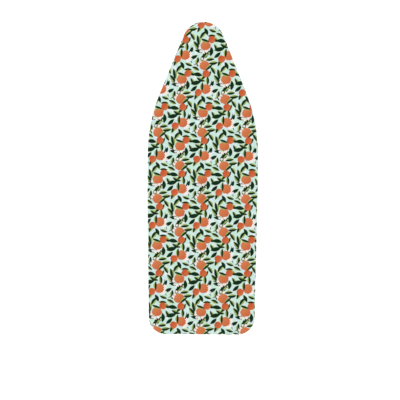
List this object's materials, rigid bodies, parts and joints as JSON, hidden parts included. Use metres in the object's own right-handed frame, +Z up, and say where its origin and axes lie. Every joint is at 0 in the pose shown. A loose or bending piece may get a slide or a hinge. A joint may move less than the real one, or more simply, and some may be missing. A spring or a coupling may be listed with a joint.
{
  "type": "sleeve ironing board",
  "caption": "Tabletop sleeve board: padded, cloth-covered top with a narrow round nose, on a folding parallelogram stand of bent rod.",
  "frame": {"origin": "on the table, under the middle of the board's outline", "axes": "+X to the right seen from the tail, +Y along the board towards the nose, +Z up"},
  "size_m": [0.18, 0.51, 0.16],
  "materials": {
    "cover_cloth": "plain-woven cotton with a small printed citrus pattern",
    "hem_tape": "woven cotton tape",
    "elastic": "woven elastic",
    "felt": "needle felt",
    "frame_paint": "light grey powder coat",
    "stand_paint": "white powder coat",
    "zinc": "bright zinc plating",
    "saddle_plastic": "moulded nylon",
    "spacer_plastic": "moulded nylon",
    "grip_plastic": "dipped vinyl",
    "foot_rubber": "moulded rubber"
  },
  "bodies": {
    "base": {"base_frame": "stand_paint", "lock_tie": "stand_paint", "front_tie": "stand_paint", "rear_tie": "stand_paint", "lock_bracket": "zinc", "bracket_rivets": "zinc", "lock_pin": "zinc", "front_clevis_right": "stand_paint", "front_foot_right": "foot_rubber", "front_clevis_left": "stand_paint", "front_foot_left": "foot_rubber", "front_lower_pins": "zinc", "front_push_nuts": "zinc", "rear_clevis_right": "stand_paint", "rear_foot_right": "foot_rubber", "rear_clevis_left": "stand_paint", "rear_foot_left": "foot_rubber", "rear_lower_pins": "zinc", "rear_push_nuts": "zinc"},
    "rear_strut": {"rear_strut": "stand_paint"},
    "front_strut": {"front_strut": "stand_paint", "stay_rivet": "zinc", "stay_spacer": "spacer_plastic"},
    "stay": {"lock_stay": "zinc", "stay_grip": "grip_plastic"},
    "board": {"cover": "cover_cloth", "hem_binding": "hem_tape", "hem_elastic": "elastic", "pad": "felt", "edge_frame": "frame_paint", "mesh_sheet": "frame_paint", "rail_right": "frame_paint", "rail_left": "frame_paint", "front_saddle_right": "saddle_plastic", "front_saddle_left": "saddle_plastic", "rear_saddle_right": "saddle_plastic", "rear_saddle_left": "saddle_plastic", "front_saddle_rivets": "zinc", "rear_saddle_rivets": "zinc"}
  },
  "joints": [
    {"name": "rear_strut_fold", "type": "hinge", "parent": "base", "child": "rear_strut", "pos_m": [0, -0.19, 0.023], "axis": [1, 0, 0], "range_deg": [0, 84]},
    {"name": "front_strut_fold", "type": "hinge", "parent": "base", "child": "front_strut", "pos_m": [0, -0.06, 0.023], "axis": [1, 0, 0], "range_deg": [0, 84]},
    {"name": "board_level", "type": "hinge", "parent": "rear_strut", "child": "board", "pos_m": [0, -0.17779, 0.1392], "axis": [1, 0, 0], "range_deg": [-84, 0]},
    {"name": "stay_swing", "type": "hinge", "parent": "front_strut", "child": "stay", "pos_m": [0.038, -0.05477, 0.07273], "axis": [1, 0, 0], "range_deg": [-42, 0]}
  ],
  "couplings": [
    {"joint": "front_strut_fold", "follows": "rear_strut_fold", "ratio": 1},
    {"joint": "board_level", "follows": "rear_strut_fold", "ratio": -1},
    {"joint": "stay_swing", "follows": "rear_strut_fold", "ratio": -0.5}
  ]
}
